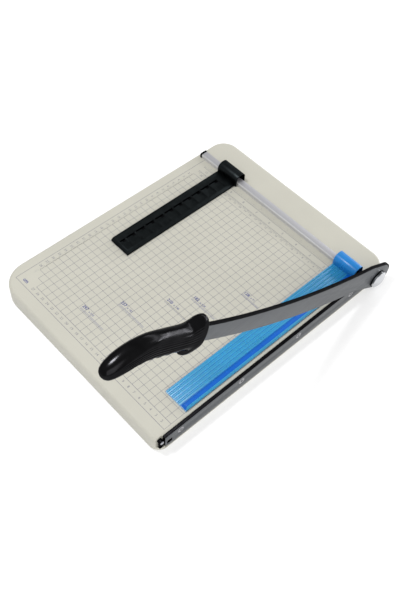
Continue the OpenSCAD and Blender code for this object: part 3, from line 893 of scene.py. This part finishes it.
def station(distance):
    """The handle's half sizes at a distance, on a smooth curve through the stations."""
    last = len(STATIONS) - 2
    k = max(i for i in range(last + 1) if STATIONS[i][0] <= distance or i == 0)
    a, b = STATIONS[k], STATIONS[k + 1]
    before, after = STATIONS[max(0, k - 1)], STATIONS[min(last + 1, k + 2)]
    span = b[0] - a[0]
    t = (distance - a[0]) / span
    sizes = []
    for i in (1, 2, 3):
        slope_a = (b[i] - before[i]) / (b[0] - before[0]) * span
        slope_b = (after[i] - a[i]) / (after[0] - a[0]) * span
        if (b[i] - a[i]) * slope_a <= 0:
            slope_a = 0.0
        if (b[i] - a[i]) * slope_b <= 0:
            slope_b = 0.0
        # the cubic that leaves a and reaches b with these slopes
        sizes.append(
            (2 * t ** 3 - 3 * t ** 2 + 1) * a[i]
            + (t ** 3 - 2 * t ** 2 + t) * slope_a
            + (3 * t ** 2 - 2 * t ** 3) * b[i]
            + (t ** 3 - t ** 2) * slope_b
        )
    return sizes


def window(value, low, high, fade):
    """One between low and high, fading to nought outside them."""

    def ease(t):
        t = min(1.0, max(0.0, t))
        return t * t * (3 - 2 * t)

    return ease((value - low) / fade + 1) * ease((high - value) / fade + 1)


def powered(value, power):
    """A power of a number's size, with the number's sign."""
    return math.copysign(abs(value) ** power, value)


def handle_ring(distance):
    """One ring of the grip, with its ribbed flanks, finger grooves and slanted guard."""
    up, down, half = station(distance)
    over = max(0.0, distance - BEND_START)
    tilt = math.atan(2 * BEND_RATE * over)
    drop = BEND_RATE * over * over
    finger = abs(math.sin(math.pi * (distance - GROOVE_START) / GROOVE_PITCH))
    groove = GROOVE_H * window(distance, *GROOVE_ZONE) * finger
    guard = window(distance, *GUARD_ZONE)
    rib = RIB_H * window(distance, *RIB_ZONE)
    middle = RIB_MIDDLE - RIB_DRIFT * (distance - 20)
    low, high = middle - RIBS_BELOW, middle + RIBS_ABOVE
    ring = []
    for i in range(RING_SIDES):
        turn = 2 * math.pi * i / RING_SIDES
        lower = math.sin(turn) < 0
        power = SECTION_POWER + (GUARD_POWER - SECTION_POWER) * (guard if lower else 0.0)
        side = powered(math.cos(turn), power)
        rise = powered(math.sin(turn), SECTION_POWER)
        angle = math.degrees(math.asin(math.sin(turn)))
        wave = 0.5 + 0.5 * math.cos(2 * math.pi * angle / RIB_PITCH)
        inset = rib * window(angle, low, high, RIBS_FADE) * wave
        reach = down - groove * min(1.0, GROOVE_ROUNDING * abs(rise)) if lower else up
        height = rise * (reach - inset)
        set_back = GUARD_SLANT * guard * max(0.0, -height)
        y, z = from_arm(
            -GUARD_FACE - distance - set_back - height * math.sin(tilt),
            GRIP_Z - drop + height * math.cos(tilt),
        )
        ring.append((GRIP_X + side * (half - inset), y, z))
    return ring


def build_handle(plastic):
    length = STATIONS[-1][0]
    distances = []
    for i in range(RING_STEPS + 1):
        t = i / RING_STEPS
        crowded = 0.5 - 0.5 * math.cos(math.pi * t)
        distances.append(length * (0.35 * crowded + 0.65 * t))
    handle = loft("handle_grip", [handle_ring(d) for d in distances])
    smooth(handle, 50)
    put_on(handle, "blade_lever", "handle", "handle_plastic", plastic)


# ------------------------------------------------------------------ hooks, stop bar, hold-down

HOOK_FRONT = 316.6
HOOK_BACK = 335.0
HOOK_TOP = 17.8
HOOK_R = 8.5
HOOK_BACK_R = 7.5
HOOK_WALL = 2.4
HOOK_INNER_R = 0.8


def hook_outline():
    """The hook seen along the rail, as one closed line: outside, lip, then inside."""
    arc_y = HOOK_FRONT + HOOK_R
    arc_z = HOOK_TOP - HOOK_R
    inner_back = HOOK_BACK - HOOK_WALL
    lip = (HOOK_BACK - HOOK_WALL / 2, REST_GAP + HOOK_WALL / 2)
    outline = [(HOOK_FRONT, REST_GAP)]
    outline += arc((arc_y, arc_z), HOOK_R, 180, 90, 20)
    outline += arc((HOOK_BACK - HOOK_BACK_R, HOOK_TOP - HOOK_BACK_R), HOOK_BACK_R, 90, 0, 12)
    outline += arc(lip, HOOK_WALL / 2, 0, -180, 12)
    inner_corner = (inner_back - HOOK_INNER_R, HOOK_TOP - HOOK_WALL - HOOK_INNER_R)
    outline += arc(inner_corner, HOOK_INNER_R, 0, 90, 5)
    outline += arc((arc_y, arc_z), HOOK_R - HOOK_WALL, 90, 180, 16)
    outline.append((HOOK_FRONT + HOOK_WALL, REST_GAP))
    return outline


CELL_COUNT = 11
CELL_PITCH = 16.8
CELL_LENGTH = 15.2
CELL_DEPTH = 0.9
SLOT_WIDTH = 1.7
NOTCH_WIDTH = 4.6
NOTCH_LENGTH = 5.4
NOTCH_DEPTH = 3.0
CELL_RIM = 0.6


def cut_cells(bar, left, right, first_end, near_rim, top):
    """Shallow cells in a row, each with a deep slot on its left that widens at its far end."""
    above = top + OVERCUT
    floor = top - NOTCH_DEPTH
    for i in range(CELL_COUNT):
        far = first_end + CELL_PITCH * i
        near = max(near_rim, far - CELL_LENGTH)
        end = far - CELL_RIM
        cuts = [
            block("cell", (left, near, top - CELL_DEPTH), (right, far, above)),
            block("slot", (left, near + CELL_RIM, floor), (left + SLOT_WIDTH, end, above)),
            block("notch", (left, end - NOTCH_LENGTH, floor), (left + NOTCH_WIDTH, end, above)),
        ]
        for cut in cuts:
            combine(bar, cut, "DIFFERENCE")


def build_stop_bar(plastic, shade):
    """The bar, sloped at its right side and near end, with its row of cells and its hook."""
    left, right, near = -268.0, -234.0, 120.5
    far = HOOK_FRONT + 1
    slope = 3.2
    low, high = REST_GAP, REST_GAP + 5.0
    top_right, top_near = right - slope, near + slope
    foot = [(left, near), (right, near), (right, far), (left, far)]
    top = [(left, top_near), (top_right, top_near), (top_right, far), (left, far)]
    rings = []
    for shape, z in ((foot, low), (foot, high - slope + 0.6), (top, high)):
        rings.append([(x, y, z) for x, y in shape])
    bar = loft("stop_bar_blade", rings)
    cells_left = left + 11
    cut_cells(bar, cells_left, top_right - 2, near + 14.7, top_near + 2, high)
    round_edges(bar, 0.3, 2, 25)
    hook = prism("stop_hook", hook_outline(), left - 1, right + 2.5, "x")
    round_edges(hook, 0.6, 3, 50)
    piece = merge([bar, hook])
    smooth(piece, 35)
    put_on(piece, "back_stop", "stop_bar", "black_plastic", plastic, shade)

    def in_notch(n, c):
        in_height = high - NOTCH_DEPTH - 0.1 < c.z < high - 1
        in_width = cells_left - 0.1 < c.x < cells_left + NOTCH_WIDTH + 0.1
        return in_height and in_width and top_near + 1 < c.y < HOOK_FRONT

    # the notches take the blacker paint: painted shade for their depth
    paint_faces(piece, 1, in_notch)


FLUTE_COUNT = 5
FLUTE_PITCH = 5.0
FLUTE_WIDTH = 3.8
FLUTE_SLOPE = 0.7
FLUTE_DEPTH = 0.8


def fluted_outline(left, right, low, high):
    """The hold-down's plate seen from its end, with a row of flutes in its top."""
    floor = high - FLUTE_DEPTH
    outline = [(left, low), (left, high)]
    for i in range(FLUTE_COUNT):
        start = left + 2 + FLUTE_PITCH * i
        end = start + FLUTE_WIDTH
        outline += [(start, high), (start + FLUTE_SLOPE, floor)]
        outline += [(end - FLUTE_SLOPE, floor), (end, high)]
    return outline + [(right, high), (right, low)]


def build_hold_down(plastic, deep, painted_edge_highlight, hook_blue):
    """The fluted plate with a ridge along its right side, cut at a slant, and its hook."""
    left, right, near = -45.5, -10.0, 22.5
    far = HOOK_FRONT + 1
    low, high, top = REST_GAP, REST_GAP + 3.0, REST_GAP + 5.5
    plate = prism("hold_down_plate", fluted_outline(left, right, low, high), near, far, "y")
    round_edges(plate, 0.25, 2, 25)
    foot = high - 0.5
    ridge_left = right - 9
    ridge = [
        (ridge_left, foot), (ridge_left, high), (ridge_left + 2, top),
        (right - 2, top), (right, high), (right, foot),
    ]
    ridge_near = near + 0.4
    bar = prism("hold_down_ridge", ridge, ridge_near, far, "y")
    wedge = [(near - 5, high), (ridge_near, high), (near + 8.5, top + 3), (near - 5, top + 3)]
    combine(bar, prism("wedge", wedge, right - 12, right + 3, "x"), "DIFFERENCE")
    round_edges(bar, 0.3, 2, 25)
    hook = prism("hold_down_hook", hook_outline(), left - 1, right - 0.5, "x")
    round_edges(hook, 0.6, 3, 50)
    piece = merge([plate, bar, hook])
    smooth(piece, 35)
    put_on(piece, "paper_clamp", "hold_down", "blue_plastic", plastic, deep, painted_edge_highlight, hook_blue)
    # the ridge and the left side are deeper blue, and the left slopes of the flutes get the same
    # deeper blue as painted shade along the flutes
    flute_floor = high - FLUTE_DEPTH - 0.1
    paint_faces(piece, 1, lambda n, c: ridge_left - 0.1 < c.x < right - 2.2 and c.y < HOOK_FRONT)
    paint_faces(piece, 1, lambda n, c: c.x < left + 0.3 and c.y < HOOK_FRONT)
    paint_faces(piece, 1, lambda n, c: n.x < -0.3 and c.z > flute_floor and c.x < ridge_left - 0.2)
    # the near end takes a lighter blue as a painted highlight along its edge, and the hook is a
    # deeper blue
    paint_faces(piece, 2, lambda n, c: c.y < near + 0.3)
    paint_faces(piece, 3, lambda n, c: c.y > HOOK_FRONT - 0.1 and c.z > high + 0.2)


# ------------------------------------------------------------------ pivot


def build_bolt(chrome):
    """The shouldered bolt, with a rim and a shallow dome for its head."""
    shank, tip, seat = 5.0, -39.6, 5.75
    radius, rim, dome = 12.5, 2.4, 4.0
    chamfer = 0.3
    profile = [(tip, shank - 0.6), (tip + 0.6, shank), (seat, shank)]
    profile += [(seat, radius - chamfer), (seat + chamfer, radius), (seat + rim, radius)]
    ball = (radius * radius + dome * dome) / (2 * dome)
    reach = math.asin(radius / ball)
    steps = 16
    for i in range(1, steps + 1):
        turn = reach * (1 - i / steps)
        x = seat + rim + dome - ball * (1 - math.cos(turn))
        profile.append((x, max(0.01, ball * math.sin(turn))))
    bolt = lathe("pivot_bolt_head", profile, PIVOT_Y, PIVOT_Z, 128)
    smooth(bolt, 25)
    put_on(bolt, "base", "pivot_bolt", "chrome_plate", chrome)


def build_washer(plastic):
    profile = [(4.25, 12.8), (4.5, 13.1), (5.5, 13.1), (5.75, 12.8)]
    washer = lathe("pivot_washer_ring", profile, PIVOT_Y, PIVOT_Z, 128)
    bore = lathe("bore", [(3, SHANK_BORE_R), (7, SHANK_BORE_R)], PIVOT_Y, PIVOT_Z, 64)
    combine(washer, bore, "DIFFERENCE")
    smooth(washer, 30)
    put_on(washer, "base", "pivot_washer", "black_plastic", plastic)


# ------------------------------------------------------------------ CAD pieces kept


def dress_kept_nodes(looks):
    """Materials for the CAD nodes that are shown as they are."""
    dressing = {
        "rubber": ["rubber_feet"],
        "plastic": ["rail_end_caps"],
        "paint": ["lock_latch", "latch_spacer"],
        "brass": ["pivot_bush"],
        "dark": ["blade_screws"],
        "bright": ["disc_springs", "stop_spring", "hold_spring", "latch_rivet"],
        "zinc": [
            "foot_screws", "rail_screws", "backing_strip", "blade_nuts", "pivot_plate",
            "plate_screws", "nut_washer", "pivot_nut", "handle_screws", "lock_stud",
        ],
    }
    for look, names in dressing.items():
        for name in names:
            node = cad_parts[name]
            node.data.materials.clear()
            node.data.materials.append(looks[look])


# ------------------------------------------------------------------ studio


def build_camera():
    """The camera: where it looks on the deck, from how far, and how it is turned."""
    target = at(-117.0, 144.1, 0.0)
    distance = 1041.6 * MM
    azimuth = math.radians(44.3)
    elevation = math.radians(53.74)
    roll = math.radians(3.88)
    back = Vector((
        math.sin(azimuth) * math.cos(elevation),
        -math.cos(azimuth) * math.cos(elevation),
        math.sin(elevation),
    ))
    level = Vector((math.cos(azimuth), math.sin(azimuth), 0.0))
    upright = back.cross(level)
    right = level * math.cos(roll) + upright * math.sin(roll)
    up = back.cross(right)
    camera_data = bpy.data.cameras.new("camera")
    camera_data.lens = 48.94
    camera_data.sensor_width = 36.0
    camera = bpy.data.objects.new("camera", camera_data)
    turn = Matrix((right, up, back)).transposed()
    camera.matrix_world = Matrix.Translation(target + back * distance) @ turn.to_4x4()
    bpy.context.scene.collection.objects.link(camera)
    bpy.context.scene.camera = camera


def area_light(name, spot, target, size, power):
    data = bpy.data.lights.new(name, "AREA")
    data.shape = "RECTANGLE"
    data.size, data.size_y = size
    data.energy = power
    light = bpy.data.objects.new(name, data)
    light.location = spot
    light.rotation_euler = (Vector(target) - Vector(spot)).to_track_quat("-Z", "Y").to_euler()
    bpy.context.scene.collection.objects.link(light)


def build_floor():
    look = Surface("studio_floor", (0.6, 0.6, 0.6), 0.7).mottle(even(3), 0.01)
    look.set("Emission Color", (1.0, 1.0, 1.0, 1.0)).set("Emission Strength", 0.42)
    mesh = bpy.data.meshes.new("studio_floor")
    reach = 6.0
    corners = [(-reach, -reach, 0), (reach, -reach, 0), (reach, reach, 0), (-reach, reach, 0)]
    mesh.from_pydata(corners, [], [(0, 1, 2, 3)])
    mesh.materials.append(look.material)
    floor = bpy.data.objects.new("studio_floor", mesh)
    bpy.context.scene.collection.objects.link(floor)


def build_lights():
    world = bpy.data.worlds.new("studio")
    world.use_nodes = True
    background = world.node_tree.nodes["Background"]
    background.inputs["Color"].default_value = (1.0, 1.0, 1.0, 1.0)
    background.inputs["Strength"].default_value = 0.5
    bpy.context.scene.world = world
    area_light("key", (-0.36, -0.37, 1.33), (0, 0, 0), (0.23, 0.23), 9.2)
    area_light("fill", (1.7, -1.2, 1.6), (0, 0, 0), (2.2, 2.2), 30)
    area_light("strip", (0.65, 2.5, 0.55), (0, 0, 0.1), (2.2, 0.14), 30)
    area_light("upper_strip", (-0.2, 2.2, 1.2), (0, 0, 0.1), (3.4, 0.3), 16)
    bpy.context.scene.view_settings.view_transform = "Standard"


def main():
    build_camera()
    plastic = black_plastic()
    steel = ground_steel()
    paint = black_paint()
    bright = bright_steel()
    build_base(base_plastic())
    build_print(
        printing_ink("scale_ink", (0.17, 0.17, 0.20)),
        printing_ink("label_ink", (0.07, 0.08, 0.22)),
    )
    build_rail(
        rail_aluminium("rail_aluminium", (0.42, 0.42, 0.44), 0.6),
        # a lighter copy of the aluminium, painted light for the rail's near face
        rail_aluminium("rail_near_face", (0.50, 0.50, 0.50), 0.15),
    )
    build_fixed_blade(steel, paint)
    build_arm(steel, paint)
    build_handle(handle_plastic())
    # the blacker paint is also painted shade in the stop bar's notches
    build_stop_bar(plastic, paint)
    build_hold_down(
        clear_plastic("blue_plastic", (0.065, 0.50, 0.85), 0.5),
        clear_plastic("blue_plastic_deep", (0.0, 0.11, 0.52), 0.1),
        # a lighter blue, used as a painted highlight on the hold-down's near end
        clear_plastic("blue_plastic_edge", (0.40, 0.66, 0.95), 0.3),
        clear_plastic("blue_plastic_hook", (0.012, 0.23, 0.64), 0.2),
    )
    build_bolt(chrome_plate())
    build_washer(plastic)
    dress_kept_nodes({
        "plastic": plastic, "paint": paint, "bright": bright, "zinc": zinc_plate(),
        "brass": turned_brass(), "rubber": foot_rubber(), "dark": dark_steel(),
    })
    build_floor()
    build_lights()


main()
